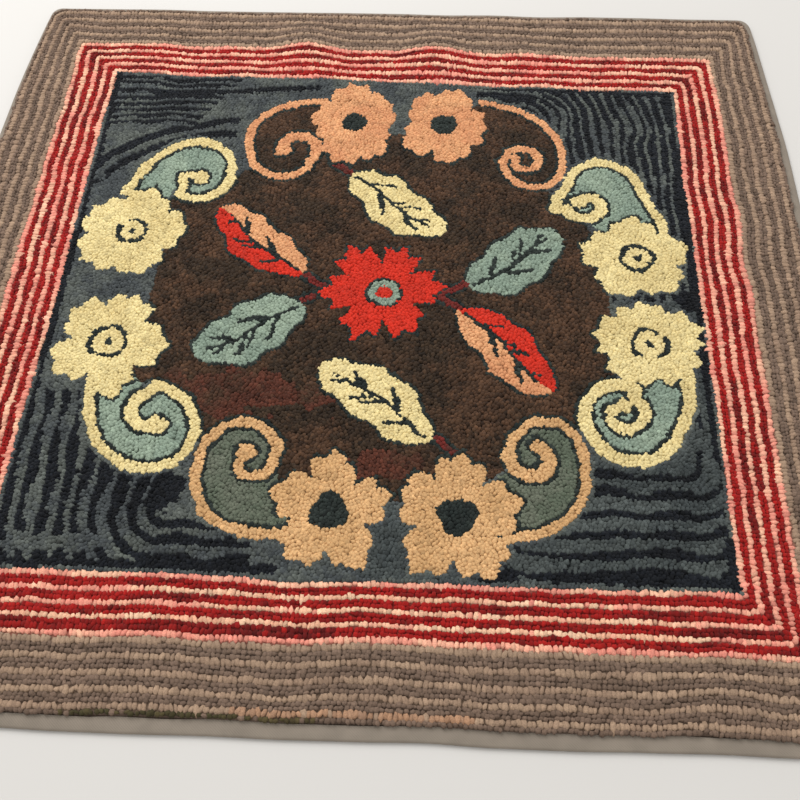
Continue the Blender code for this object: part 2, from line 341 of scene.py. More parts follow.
# Cloth under the pile: raster cells a step, points round a ring, how much of the yarn's colour and of the
# burlap's shows from above and below, where each side lies in the map for baking, how deep the bed lies, how
# high the back, and how far beside the field its rings begin. From above the yarn's colour is halved, as
# painted shade in the gaps between loops where the bed shows
CLOTH_STEP = 7
CLOTH_POINTS = 400
CLOTH_SHELLS = table(
    "yarn burlap winding map_at map_size",
    # The upper side at half its yarn's colour is painted shade between the loops
    (0.50, 0.0, 1, 0.80, 0.19),
    (0.70, 0.25, -1, 0.0, 0.79),
)
BURLAP = "8A7048"
MAP_SIDE = 0.930
BED_DEPTH = 0.0022
BACK_AT = 0.0001
BESIDE = 0.002

# Tape: its fold as a share of the visible width, an inset and a height, its colour, how far its inner edge
# wavers, and the dip where its ends meet at the front
TAPE_UNDER_TOP = TAPE_TOP - TAPE_THICKNESS
TAPE_INSIDE = TAPE_THICKNESS + GAP
TAPE_FOLD = (
    (1.0, 0.0, TAPE_TOP - 0.0002), (0.5, 0.0, TAPE_TOP), (0.0, 0.0022, TAPE_TOP - 0.0004),
    (0.0, 0.0009, TAPE_TOP - 0.0009), (0.0, 0.0002, TAPE_TOP - 0.0018),
    (0.0, 0.0, TAPE_TOP / 2), (0.0, 0.0003, 0.0010), (0.0, 0.0009, 0.0004), (0.0, 0.0022, 0.0),
    (0.0, TAPE_UNDER_LEG, 0.0), (0.0, TAPE_UNDER_LEG, TAPE_THICKNESS), (0.0, TAPE_INSIDE, TAPE_THICKNESS),
    (0.0, TAPE_INSIDE, TAPE_UNDER_TOP), (1.0, 0.0, TAPE_UNDER_TOP),
)
TAPE_POINTS = 800
TAPE_COLOUR = "81776B"
TAPE_WAVER = (0.0013, 0.05)
TAPE_OFF_CORNER = 0.04
TAPE_JOIN = Values(x=-0.215, y=-0.4, dip=0.0018, over=0.030)

# Stage: floor, the light of the room and of one soft window
FLOOR_REACH = 6.0
FLOOR_DROP = 0.0002
FLOOR = {"Base Color": (0.56, 0.54, 0.51, 1.0), "Roughness": 0.7}
ROOM_LIGHT = {"Color": (1.0, 1.0, 1.0, 1.0), "Strength": 0.95}
WINDOW = Values(at=(-0.9, 1.3, 1.9), turn=(-34, -25, 0), size=1.6, energy=44.0)


def smooth(value):
    """Eases from 0 to 1."""
    value = np.clip(value, 0.0, 1.0)
    return value * value * (3.0 - 2.0 * value)


def noise(x, y, grain, seed):
    """Smooth noise between -1 and 1 over the plan."""
    lattice = np.random.default_rng(seed).uniform(-1.0, 1.0, (LATTICE, LATTICE))
    u = np.asarray(x) / grain
    v = np.asarray(y) / grain
    i = np.floor(u).astype(int)
    j = np.floor(v).astype(int)
    fu = smooth(u - i)
    fv = smooth(v - j)
    i, next_i, j, next_j = (k % LATTICE for k in (i, i + 1, j, j + 1))
    near = lattice[i, j] * (1 - fu) + lattice[next_i, j] * fu
    far = lattice[i, next_j] * (1 - fu) + lattice[next_i, next_j] * fu
    return near * (1 - fv) + far * fv


def waver(x, y, amount, seed):
    """Noise of an amount, which is its reach and its grain."""
    reach, grain = amount
    return reach * noise(x, y, grain, seed)


def between(outer, inner, share, inset=0.0):
    """Offsets that run from one band's edge (share 0) to the next one's (share 1) on each side."""
    return {side: band[outer] + (band[inner] - band[outer]) * share + inset for side, band in BANDS.items()}


def lines_at(offsets):
    """Where lines at given offsets from the edges lie: left, right, front and back."""
    return (-WIDTH / 2 + offsets["left"], WIDTH / 2 - offsets["right"],
            -DEPTH / 2 + offsets["front"], DEPTH / 2 - offsets["back"])


def even(offset):
    """The same offset on all four sides."""
    return {side: offset for side in BANDS}


def mean(offsets):
    """One offset that stands for all four sides."""
    return sum(offsets.values()) / len(offsets)


def corner_radius(offsets):
    """Corners are round at the edge and nearly square further in."""
    roundness = max(1 - mean(offsets) / CORNERS_SQUARE_AT, 0.0)
    return INNER_CORNER_RADIUS + (CORNER_RADIUS - INNER_CORNER_RADIUS) * roundness


def plan(x, y):
    """Moves points of the true square to where they lie in the uneven rug, whose rows drift a little."""
    red_at = mean(between("edge", "red", 1.0))
    beyond_red = (np.abs(x) - (WIDTH / 2 - red_at)) / red_at
    towards_back = (y - DRAW_IN_FROM) / (DEPTH / 2 - CORNER_RADIUS - DRAW_IN_FROM)
    drawn = BACK_CORNER_DRAW_IN * np.maximum(beyond_red, 0.0) * np.clip(towards_back, 0.0, 1.0) ** 2
    field_edge = DEPTH / 2 - BANDS["back"]["field"]
    red_edge = DEPTH / 2 - BANDS["back"]["red"]
    inside = FIELD_SKEW * smooth(y / field_edge)
    share = (y - field_edge) / (red_edge - field_edge)
    across = FIELD_SKEW + (RED_SKEW - FIELD_SKEW) * share
    outside = RED_SKEW * (1 - (y - red_edge) / (DEPTH / 2 - red_edge))
    skew = np.where(y < field_edge, inside, np.where(y < red_edge, across, outside))
    off_edge = np.minimum(WIDTH / 2 - np.abs(x), DEPTH / 2 - np.abs(y))
    share = DRIFT.at_edge + (1 - DRIFT.at_edge) * smooth(off_edge / DRIFT.full_from)
    drift_x = DRIFT.x * share * noise(x, y, DRIFT.grain, 3)
    drift_y = DRIFT.y * share * noise(x, y, DRIFT.grain, 4)
    return x - np.sign(x) * drawn + drift_x, y - skew * x / (WIDTH / 2) + drift_y


def lift(x, y):
    """How far the ripples lift the rug off the floor."""
    height = np.zeros_like(x)
    for ripple in RIPPLES:
        along = (x - ripple.x) / ripple.half_width
        away = y - ripple.y
        across = away / np.where(away > 0, ripple.reach_out, ripple.reach_in)
        swell = np.cos(np.pi * along / 2) ** 2 * np.cos(np.pi * across / 2) ** 2
        height = height + np.where((np.abs(along) < 1) & (np.abs(across) < 1), ripple.height * swell, 0.0)
    return height


def linear(code):
    """An sRGB colour such as "4B5458" as linear red, green and blue."""
    parts = np.array([int(code[i:i + 2], 16) / 255 for i in (0, 2, 4)])
    return np.where(parts <= 0.04045, parts / 12.92, ((parts + 0.055) / 1.055) ** 2.4)


def of_yarns(key):
    """A value of every yarn, in the order of their codes. Colours come out linear."""
    values = [yarn[key] for yarn in YARNS.values()]
    return np.array([linear(value) if isinstance(value, str) else value for value in values])


def yarn_colours(codes, u, v, seed):
    """The colour of each loop: its yarn's two colours in patches, and a small change from loop to loop."""
    rng = np.random.default_rng(seed)
    count = len(codes)
    main, second, spread, usual, patchy = (of_yarns(key)[codes] for key in YARN_COLUMNS.split())
    patch = usual + patchy * (waver(u, v, BROAD_PATCHES, seed + 1) + waver(u, v, FINE_PATCHES, seed + 2))
    share = np.clip(patch + rng.normal(0.0, LOOP_CHANGE, count), 0.0, 1.0)[:, None]
    light = np.clip(1.0 + spread * rng.normal(0.0, 1.0, count), *LIGHT_LIMITS)[:, None]
    return (main * (1 - share) + second * share) * light


def petal_reach(x, y, flower, seed):
    """How far out points lie in a flower of pointed petals: 0 in its middle and 1 on its outline."""
    petals = flower.petals
    points = petals * PETAL_POINTS
    lengths = 1.0 + np.random.default_rng(seed).uniform(*PETAL_LENGTHS, points)
    dx = (x - flower.x) / flower.rx
    dy = (y - flower.y) / flower.ry
    turns = (np.arctan2(dy, dx) - math.radians(flower.turn)) / (2 * np.pi)
    off_petal = 2 * np.abs(petals * turns - np.round(petals * turns))
    nearest = np.round(points * turns)
    off_point = 2 * np.abs(points * turns - nearest)
    length = lengths[nearest.astype(int) % points]
    outline = length * (1 - flower.notch * off_petal ** PETAL_BLUNTNESS - flower.tooth * off_point)
    return np.hypot(dx, dy) / outline


def eye_reach(x, y, flower, depth):
    """Distance from a flower's middle, measured so that its eye comes out three-cornered."""
    dx = x - flower.x
    dy = y - flower.y
    lobes = np.cos(3 * (np.arctan2(dy, dx) - math.radians(flower.lobe)))
    return np.hypot(dx, dy) / (1 + depth * lobes)


def scroll_lines(scroll):
    """Points along a scroll's turn and along the curl that it ends in."""
    degrees = np.arange(0.0, scroll.run + 1.0, SCROLL_STEP)
    far = (scroll.far - 1) * np.exp(-degrees / SCROLL_START_FADE)
    oval = scroll.oval * np.cos(2 * np.radians(degrees - scroll.widest))
    reach = scroll.size * (1 + far + oval)
    angle = np.radians(scroll.start + scroll.winds * degrees)
    turn = (scroll.x + reach * np.cos(angle), scroll.y + reach * np.sin(angle))
    degrees = np.linspace(0.0, scroll.turn, CURL_POINTS)
    reach = scroll.radius * (1 - scroll.closes * smooth(2 * degrees / scroll.turn - 1))
    angle = np.radians(scroll.begin + scroll.winds * degrees)
    curl = (scroll.curl[0] + reach * np.cos(angle), scroll.curl[1] + reach * np.sin(angle))
    return turn, curl


def line_distance(x, y, line_x, line_y):
    """Distance of points from a line of short straight steps."""
    nearest = np.full(x.shape, 1.0)
    for ax, ay, bx, by in zip(line_x[:-1], line_y[:-1], line_x[1:], line_y[1:]):
        along = ((x - ax) * (bx - ax) + (y - ay) * (by - ay)) / ((bx - ax) ** 2 + (by - ay) ** 2)
        along = np.clip(along, 0.0, 1.0)
        nearest = np.minimum(nearest, np.hypot(x - ax - along * (bx - ax), y - ay - along * (by - ay)))
    return nearest


def inside_line(x, y, line_x, line_y):
    """Which points a closed line goes round."""
    inside = np.zeros(x.shape, bool)
    for ax, ay, bx, by in zip(line_x, line_y, np.roll(line_x, -1), np.roll(line_y, -1)):
        if ay != by:
            crossing = ax + (y - ay) * (bx - ax) / (by - ay)
            inside ^= ((ay > y) != (by > y)) & (x < crossing)
    return inside


def scroll_parts(x, y, scroll):
    """How far points are from a scroll's band, and which lie anywhere inside it."""
    turn, curl = scroll_lines(scroll)
    curl_x, curl_y = (np.append(t[-1], c) for t, c in zip(turn, curl))
    off_band = line_distance(x, y, turn[0], turn[1]) - scroll.half
    off_band = np.minimum(off_band, line_distance(x, y, curl_x, curl_y) - scroll.thick)
    off_band = np.minimum(off_band, np.hypot(x - curl_x[-1], y - curl_y[-1]) - scroll.knob)
    round_x = np.append(turn[0], (curl[0][0], scroll.flower.x))
    round_y = np.append(turn[1], (curl[1][0], scroll.flower.y))
    in_curl = np.hypot(x - scroll.curl[0], y - scroll.curl[1]) < scroll.radius
    return off_band, inside_line(x, y, round_x, round_y) | in_curl


def leaf_parts(x, y, leaf, seed):
    """Which points are in a leaf, left of its rib, on its rib and veins, and how far off it points lie."""
    base = np.array(leaf.base)
    along_axis = np.array(leaf.tip) - base
    length = float(np.hypot(*along_axis))
    ux, uy = along_axis / length
    along = ((x - base[0]) * ux + (y - base[1]) * uy) / length
    across = (y - base[1]) * ux - (x - base[0]) * uy
    across = across - LEAF.bend * np.sin(LEAF.waves * np.pi * along + seed)
    body = np.sin(np.pi * np.clip(along, 0.0, 1.0)) ** LEAF.bluntness
    scallop = 1.0 + LEAF.scallop * np.sin(along * LEAF.scallops + 2 * seed + np.sign(across))
    half = leaf.half * body * scallop
    off = np.where((along > 0) & (along < 1), np.abs(across) - half, 1.0)
    rib = (np.abs(across) < RIB_HALF) & (along > RIB_RUN.start) & (along < RIB_RUN.end)
    for start, side in VEINS:
        for at, way, reach in ((start, side, VEIN.long), (start + VEIN.gap, -side, VEIN.short)):
            run = (along - at) * length - VEIN.slope * way * across
            rib |= (np.abs(run) < VEIN.half) & (way * across > 0) & (way * across < reach * half)
    return off < 0, across > 0, rib, off


def field_raster():
    """Points of the field's raster in the true square, one row of cells for each step towards the back."""
    left, right, front, back = lines_at(between("edge", "field", 1.0))
    return np.meshgrid(np.arange(left + CELL / 2, right, CELL), np.arange(front + CELL / 2, back, CELL))


def part_of(x, y, middle, reach):
    """The rows and columns of the raster within reach of a point."""
    columns = slice(*np.searchsorted(x[0], (middle[0] - reach, middle[0] + reach)))
    margin = reach + FIELD_SKEW
    rows = slice(*np.searchsorted(y[:, 0], (middle[1] - margin, middle[1] + margin)))
    return rows, columns


def draw_pattern(x, y):
    """The yarn of every cell, painted from the ground up. Rows of the ground are coloured later."""
    wx, wy = x, y
    for i, warp in enumerate(WARPS):
        wx = wx + waver(x, y, warp, 11 + i)
        wy = wy + waver(x, y, warp, 15 + i)
    yarn = np.full(x.shape, CODES["slate"])
    everywhere = (slice(None), slice(None))

    def paint(part, where, name):
        yarn[part][where] = CODES[name]

    brown = np.zeros(x.shape, bool)
    for part in MEDALLION:
        edge = part.radius + waver(x, y, MEDALLION_WAVER, 13)
        brown |= np.hypot(wx - part.x, wy - part.y) < edge
    paint(everywhere, brown, "brown")
    for zone in RUSSET_ZONES:
        reach = np.hypot((wx - zone.x) / zone.rx, (wy - zone.y) / zone.ry)
        paint(everywhere, brown & (reach + waver(x, y, RUSSET_WAVER, 14) < RUSSET_EDGE), "russet")
    for half, name in ((STEM_HALF + HALO, "outline"), (STEM_HALF, "stem")):
        for start, end in STEMS:
            part = part_of(x, y, start, PART_REACH.stem)
            paint(part, line_distance(wx[part], wy[part], *zip(start, end)) < half, name)
    for scroll in SCROLLS:
        part = part_of(x, y, (scroll.x, scroll.y), PART_REACH.scroll)
        off_band, inside = scroll_parts(wx[part], wy[part], scroll)
        paint(part, inside, scroll.fill)
        paint(part, (off_band < SCROLL_LINE) & (inside | brown[part]), "outline")
        paint(part, off_band < 0, scroll.band)
    for i, leaf in enumerate(LEAVES):
        middle = [(a + b) / 2 for a, b in zip(leaf.base, leaf.tip)]
        part = part_of(x, y, middle, PART_REACH.motif)
        inside, left, rib, off = leaf_parts(wx[part], wy[part], leaf, i)
        paint(part, off < HALO, "outline")
        paint(part, inside & left, leaf.left)
        paint(part, inside & ~left, leaf.right)
        paint(part, inside & rib, "outline")
    for i, flower in enumerate(FLOWERS):
        name = flower.yarn
        part = part_of(x, y, (flower.x, flower.y), PART_REACH.motif)
        reach = petal_reach(wx[part], wy[part], flower, 20 + i)
        other = yarn[part] != CODES[name]
        filled = np.isin(yarn[part], [CODES[fill] for fill in ("sage", "olive")])
        paint(part, (reach < 1 + HALO / flower.rx) & other & (brown[part] | filled), "outline")
        paint(part, reach < 1, name)
        from_eye = eye_reach(wx[part], wy[part], flower, EYE_LOBES[name])
        if name == "cream":
            whole = noise(x[part], y[part], EYE_LINE.grain, 31 + i) > EYE_LINE.broken_below
            paint(part, (np.abs(from_eye - flower.eye) < EYE_LINE.half) & whole, "outline")
            paint(part, from_eye < EYE_LINE.dot, "outline")
        if name in ("peach", "sand"):
            paint(part, from_eye < flower.eye, "outline")
    from_eye = np.hypot(wx - RED_EYE.x, wy - RED_EYE.y)
    for radius, name in RED_EYE_RINGS:
        paint(everywhere, from_eye < radius, name)
    return yarn


def edge_distance(yarn):
    """Distance of every cell from the nearest change of yarn or edge of the field, by jump flooding."""
    edge = np.zeros(yarn.shape, bool)
    edge[:, 1:] |= yarn[:, 1:] != yarn[:, :-1]
    edge[1:, :] |= yarn[1:, :] != yarn[:-1, :]
    edge[0, :] = edge[-1, :] = edge[:, 0] = edge[:, -1] = True
    rows, columns = np.indices(yarn.shape)
    near_row = np.where(edge, rows, NOWHERE)
    near_column = np.where(edge, columns, NOWHERE)
    best = (near_row - rows) ** 2 + (near_column - columns) ** 2
    step = FLOOD_STEP
    while step:
        for down in (-step, 0, step):
            for over in (-step, 0, step):
                other_row = np.roll(near_row, (down, over), (0, 1))
                other_column = np.roll(near_column, (down, over), (0, 1))
                distance = (other_row - rows) ** 2 + (other_column - columns) ** 2
                closer = distance < best
                best = np.where(closer, distance, best)
                near_row = np.where(closer, other_row, near_row)
                near_column = np.where(closer, other_column, near_column)
        step //= 2
    return np.sqrt(best) * CELL


def ground_rows(x, y):
    """Row coordinate of the slate ground, in rows, and the yarn of its rows."""
    rows = y / ROW_PITCH
    yarn = np.full(x.shape, CODES["slate"])
    navy = CODES["navy"]
    patch = noise(x, y, BREAKS.grain, 41)
    wave = sum(waver(x, y, amount, 42 + i) for i, amount in enumerate(WAVES))
    change = waver(x, y, LINE_CHANGE, 45)
    for line in GROUND_LINES:
        sx, sy = line.side
        here = (sx * x > 0) & (sy * y > 0)
        out_x = np.maximum(sx * (x - line.x), 0.0)
        out_y = np.maximum(sy * (y - line.y), 0.0)
        away = np.hypot(out_x, out_y) + wave
        per_period = max(round(line.period / ROW_PITCH), 2)
        rows = np.where(here, per_period * away / line.period, rows)
        dark = ((away / line.period) % 1.0 > 1 - line.dark - change) & (away > LINES_FROM)
        dark &= (patch > BREAKS.lines) & (np.abs(x) > PLAIN_MIDDLE)
        yarn = np.where(here, np.where(dark, navy, CODES[line.between]), yarn)
    past_lines = x > LINES_END.x + LINES_END.slant * (y - LINES_END.y)
    arcs = (x < 0) & (y > 0) & ((y < GROUND_LINES[0].y) | past_lines)
    away = np.hypot(x - ARCS.x, y - ARCS.y) + wave
    rows = np.where(arcs, away / ROW_PITCH, rows)
    dark = (((away - ARCS.near) / ARCS.period) % 1.0 < ARCS.dark) & (y > ARCS.above)
    dark &= (away > ARCS.near) & (away < ARCS.far) & (x < ARCS.x) & (patch > BREAKS.arcs)
    yarn = np.where(arcs, np.where(dark, navy, CODES["slate"]), yarn)
    yarn = np.where(line_distance(x, y, STROKE.x, STROKE.y) < STROKE.half, navy, yarn)
    for spot in PATCHES:
        reach = np.hypot((x - spot.x) / spot.rx, (y - spot.y) / spot.ry)
        yarn = np.where(reach + waver(x, y, PATCH_WAVER, 46) < 1.0, CODES[spot.yarn], yarn)
    plain = (x < 0) & (y < 0) & (y > PLAIN_LEFT)
    return rows, np.where(plain, CODES["slate"], yarn)


def field_rows(x, y, yarn, distance):
    """Row coordinate of every cell, in rows, and the yarn map with its ground's rows coloured."""
    contour = distance / ROW_PITCH
    on_ground = yarn == CODES["slate"]
    brown = (yarn == CODES["brown"]) | (yarn == CODES["russet"])
    ground, ground_yarn = ground_rows(x, y)
    beyond_first = contour > GROUND_CONTOURS
    rows = np.where(on_ground & beyond_first, ground + GROUND_FROM, contour)
    straight = (STRAIGHT_SLANT * x + y + waver(x, y, STRAIGHT_WAVER, 51)) / ROW_PITCH + STRAIGHT_FROM
    rows = np.where(brown & (contour > BROWN_CONTOURS), straight, rows)
    coloured = np.where(on_ground & beyond_first, ground_yarn, yarn)
    left, right, front, back = lines_at(between("edge", "field", 1.0))
    skewed = back - FIELD_SKEW * x / (WIDTH / 2)
    from_edge = {"back": skewed - y, "front": y - front, "right": right - x, "left": x - left}
    for line in EDGE_LINES:
        off = from_edge[line.side]
        along_edge = (off > line.near) & (off < line.far)
        along_edge &= (x > line.x[0]) & (x < line.x[1])
        along_edge &= noise(x, y, EDGE_BREAKS.grain, 44) > EDGE_BREAKS.below
        coloured[along_edge & on_ground] = CODES["navy"]
    return rows, coloured


def spread_loops(order, shape, radius, taken):
    """Takes cells in the given order, each one clear of those taken before by a radius."""
    reach = int(math.ceil(radius / CELL))
    step = np.arange(-reach, reach + 1)
    disc = step[:, None] ** 2 + step[None, :] ** 2 < (radius / CELL) ** 2
    padded = np.zeros((shape[0] + 2 * reach, shape[1] + 2 * reach), bool)
    for row, column in taken:
        padded[row:row + 2 * reach + 1, column:column + 2 * reach + 1] |= disc
    found = []
    for row, column in order:
        if padded[row + reach, column + reach]:
            continue
        padded[row:row + 2 * reach + 1, column:column + 2 * reach + 1] |= disc
        found.append((row, column))
    return found


def hook_field():
    """Places every loop of the field, with its direction across its row and its yarn, and maps the yarns."""
    x, y = field_raster()
    real_x, real_y = plan(x, y)
    yarn = draw_pattern(real_x, real_y)
    distance = edge_distance(yarn)
    rows, coloured = field_rows(real_x, real_y, yarn, distance)
    off_line = np.abs(rows % 1.0 - 0.5)
    candidates = np.argwhere(off_line < ON_LINE)
    first = rows[candidates[:, 0], candidates[:, 1]] < 1.0
    candidates = np.concatenate((candidates[first], candidates[~first]))
    loops = spread_loops(candidates.tolist(), x.shape, LOOP_PITCH, [])
    every_cell = np.argwhere(np.ones(x.shape, bool))
    loops += spread_loops(every_cell.tolist(), x.shape, FILL_PITCH, loops)
    row, column = np.array(loops).T
    slope_y, slope_x = np.gradient(distance)
    ground_y, ground_x = np.gradient(rows)
    jump = np.hypot(ground_x, ground_y) > HOOKING.steep
    slope_x = np.where(jump, slope_x / ROW_PITCH, ground_x)
    slope_y = np.where(jump, slope_y / ROW_PITCH, ground_y)
    rng = np.random.default_rng(61)
    angle = np.arctan2(slope_y[row, column], slope_x[row, column])
    angle = angle + rng.normal(0.0, HOOKING.turn, len(row))
    jitter = rng.normal(0.0, HOOKING.jitter, (2, len(row)))
    line = np.floor(rows[row, column])
    loops = {
        "x": x[row, column] + jitter[0],
        "y": y[row, column] + jitter[1],
        "angle": angle,
        "yarn": coloured[row, column],
        "row_light": 1.0 + waver(line * HOOKING.row_step, line * 0.0, HOOKING.row_light, 62),
    }
    return loops, coloured


def rounded_ring(offsets, spacing):
    """Evenly spaced points of a rounded rectangle and the outward direction at each, in degrees round."""
    radius = corner_radius(offsets)
    left, right, front, back = lines_at(offsets)
    corners = ((right - radius, front + radius, -90), (right - radius, back - radius, 0),
               (left + radius, back - radius, 90), (left + radius, front + radius, 180))
    points = []
    for cx, cy, begin in corners:
        for part in np.linspace(0.0, 1.0, CORNER_POINTS):
            angle = math.radians(begin + 90 * part)
            points.append((cx + radius * math.cos(angle), cy + radius * math.sin(angle), angle))
    points.append((points[0][0], points[0][1], points[0][2] + 2 * math.pi))
    points = np.array(points)
    run = np.hypot(np.diff(points[:, 0]), np.diff(points[:, 1]))
    reached = np.concatenate(((0.0,), np.cumsum(run)))
    count = int(round(reached[-1] / spacing))
    wanted = (np.arange(count) + 0.5) * reached[-1] / count
    return tuple(np.interp(wanted, reached, points[:, i]) for i in range(3)) + (wanted,)


def dome_faces(rings):
    """Triangles of one dome. A last ring without reach is a point, otherwise the top is flat."""
    pointed = rings[-1][0] == 0
    last = (len(rings) - (2 if pointed else 1)) * DOME_SIDES
    faces = []
    for level in range(0, last, DOME_SIDES):
        for k in range(DOME_SIDES):
            a, b = level + k, level + (k + 1) % DOME_SIDES
            faces += [(a, b, b + DOME_SIDES), (a, b + DOME_SIDES, a + DOME_SIDES)]
    if pointed:
        faces += [(last + k, last + (k + 1) % DOME_SIDES, last + DOME_SIDES) for k in range(DOME_SIDES)]
    else:
        faces += [(last, last + k, last + k + 1) for k in range(1, DOME_SIDES - 1)]
    return np.array(faces)


def dome_mesh(name, loops, rings, seed):
    """One mesh of many domes: each has rings of a reach and a rise, from its foot up to its crown. Each ring
    darkens the loop's colour by a painted shade, most at the foot where loops meet.
    """
    rng = np.random.default_rng(seed)
    count = len(loops["x"])
    turn = np.arange(DOME_SIDES) / DOME_SIDES * 2 * np.pi
    ragged = 1.0 + rng.normal(0.0, RAGGED, (count, DOME_SIDES))
    lean = rng.normal(0.0, LEAN, (2, count))
    cos_a = np.cos(loops["angle"])[:, None]
    sin_a = np.sin(loops["angle"])[:, None]
    points = []
    painted_shades = []
    for reach, rise, painted_shade in rings:
        around = turn if reach > 0 else turn[:1]
        uneven = ragged if reach > 0 else ragged[:, :1]
        long = reach * loops["long"][:, None] * np.cos(around) * uneven
        wide = reach * loops["wide"][:, None] * np.sin(around) * uneven
        px = loops["x"][:, None] + long * cos_a - wide * sin_a + rise * lean[0][:, None]
        py = loops["y"][:, None] + long * sin_a + wide * cos_a + rise * lean[1][:, None]
        pz = loops["foot"][:, None] + rise * loops["tall"][:, None] * np.ones(len(around))
        points.append(np.stack((px, py, pz), -1))
        painted_shades.append(np.full((count, len(around)), painted_shade))
    points = np.concatenate(points, 1)
    painted_shades = np.concatenate(painted_shades, 1)
    faces = dome_faces(rings)[None] + points.shape[1] * np.arange(count)[:, None, None]
    # Painted shade: each ring's share darkens the loop's colour, most at its foot
    colours = loops["colour"][:, None, :] * painted_shades[:, :, None]
    x, y = plan(points[..., 0].ravel(), points[..., 1].ravel())
    z = points[..., 2].ravel() + lift(x, y)
    return add_mesh(name, np.stack((x, y, z), -1), faces.reshape(-1, 3), colours.reshape(-1, 3))


def add_object(name, data):
    """A new object, put into the scene."""
    thing = bpy.data.objects.new(name, data)
    bpy.context.scene.collection.objects.link(thing)
    return thing


def add_mesh(name, points, faces, colours, uv=None):
    """An object from arrays: points, triangles and point colours, with a flat map for baking."""
    mesh = bpy.data.meshes.new(name)
    mesh.vertices.add(len(points))
    mesh.vertices.foreach_set("co", points.astype(np.float32).ravel())
    mesh.loops.add(faces.size)
    mesh.loops.foreach_set("vertex_index", faces.astype(np.int32).ravel())
    mesh.polygons.add(len(faces))
    mesh.polygons.foreach_set("loop_start", np.arange(0, faces.size, 3, dtype=np.int32))
    mesh.update(calc_edges=True)
    mesh.shade_smooth()
    shown = np.concatenate((colours, np.ones((len(colours), 1))), 1)
    layer = mesh.color_attributes.new(name="wool", type="FLOAT_COLOR", domain="POINT")
    layer.data.foreach_set("color", shown.astype(np.float32).ravel())
    if uv is None:
        uv = points[:, :2] / MAP_SIDE + 0.5
    baked = mesh.uv_layers.new(name="OFBake")
    baked.data.foreach_set("uv", uv[faces.ravel()].astype(np.float32).ravel())
    return add_object(name, mesh)


# Domes of loops as rings, each with its reach, its rise and its painted shade, which darkens the foot of
# every loop as shade where loops meet; and yarns that make up each piece
FIELD_DOME = ((1.0, 0.0, 0.86), (0.60, 1.0, 1.0))
BORDER_DOME = ((1.0, 0.0, 0.72), (0.80, 0.72, 0.94), (0.0, 1.0, 1.0))
FIELD_PIECES = {
    "pile_ground": ("slate", "dark_slate", "navy"),
    "pile_medallion": ("brown", "russet", "stem"),
    "pile_light_motifs": ("cream", "sage"),
    "pile_warm_motifs": ("peach", "sand", "scarlet", "olive", "outline"),
}
BORDER_PIECES = {
    "pile_pink_rows": ("pink", "buff"),
    "pile_red_rows": ("red", "maroon"),
    "pile_light_rows": ("taupe_light", "apricot"),
    "pile_dark_rows": ("taupe_dark", "moss"),
}


def make_pile(loops, groups, dome, seed):
    """The loops as one piece for each group of yarns."""
    pieces = []
    for i, (name, yarns) in enumerate(groups.items()):
        chosen = np.isin(loops["yarn"], [CODES[yarn] for yarn in yarns])
        some = {key: values[chosen] for key, values in loops.items()}
        pieces.append(dome_mesh(name, some, dome, seed + i))
    return pieces


def make_field():
    """The field's loops, and its yarn map."""
    loops, yarn_map = hook_field()
    rng = np.random.default_rng(71)
    count = len(loops["x"])
    loops["long"] = rng.normal(*FIELD_LOOP.long, count)
    loops["wide"] = rng.normal(*FIELD_LOOP.wide, count)
    loops["foot"] = np.full(count, FIELD_HEIGHT - FIELD_LOOP.tall)
    loops["tall"] = FIELD_LOOP.tall + rng.normal(0.0, FIELD_LOOP.tall_change, count)
    loops["colour"] = yarn_colours(loops["yarn"], loops["x"], loops["y"], 72) * loops["row_light"][:, None]
    return make_pile(loops, FIELD_PIECES, FIELD_DOME, 80), yarn_map


def row_offsets(outer, inner, rows, place):
    """Distance from each edge to a place in a band's rows, counted from its inner edge in whole rows."""
    offsets = {}
    for side, band in BANDS.items():
        widths = [width if side == "front" else SIDE_WIDTHS[yarn] for yarn, width in rows]
        if rows is TAUPE_BAND_ROWS:
            widths[-1] = rows[-1][1]
        whole = int(place)
        reached = sum(widths[:whole]) + widths[whole] * (place - whole)
        offsets[side] = band[inner] - (band[inner] - band[outer]) * reached / sum(widths)
    return offsets


def row_codes(yarn, row, x, at_front, rng):
    """The yarn of each loop of a row: the row's own, but for stretches hooked in another."""
    codes = np.full(len(x), CODES[yarn])
    for stretch in STRETCHES:
        if stretch.row_yarn == yarn and stretch.row == row:
            there = at_front & (x > stretch.left) & (x < stretch.right)
            codes[there & (rng.random(len(x)) < STRETCH_SHARE)] = CODES[stretch.yarn]
    return codes


def open_rows(x, y):
    """Parts the loops where the rows have opened."""
    for opening in OPENINGS:
        off = x - opening.x
        beside = np.exp(-np.abs(off) / OPENING_FADE) * (np.abs(y - opening.y) < opening.half)
        x = x + opening.gap * beside * np.sign(off)
    return x


def widen_row(x, y, thick, at_front, share, yarn):
    """Shifts the red band's rows at the front, so that its outermost red row is wider at one end."""
    spread = np.where(at_front, smooth((WIDE_ROW.x - x) / WIDE_ROW.over), 0.0)
    outermost = share < WIDE_ROW.share
    rise = share / WIDE_ROW.share if outermost else (1 - share) / (1 - WIDE_ROW.share)
    if yarn == "red" and outermost:
        thick = thick * (1 + WIDE_ROW.thicker * spread)
    return y + WIDE_ROW.shift * rise * spread, thick


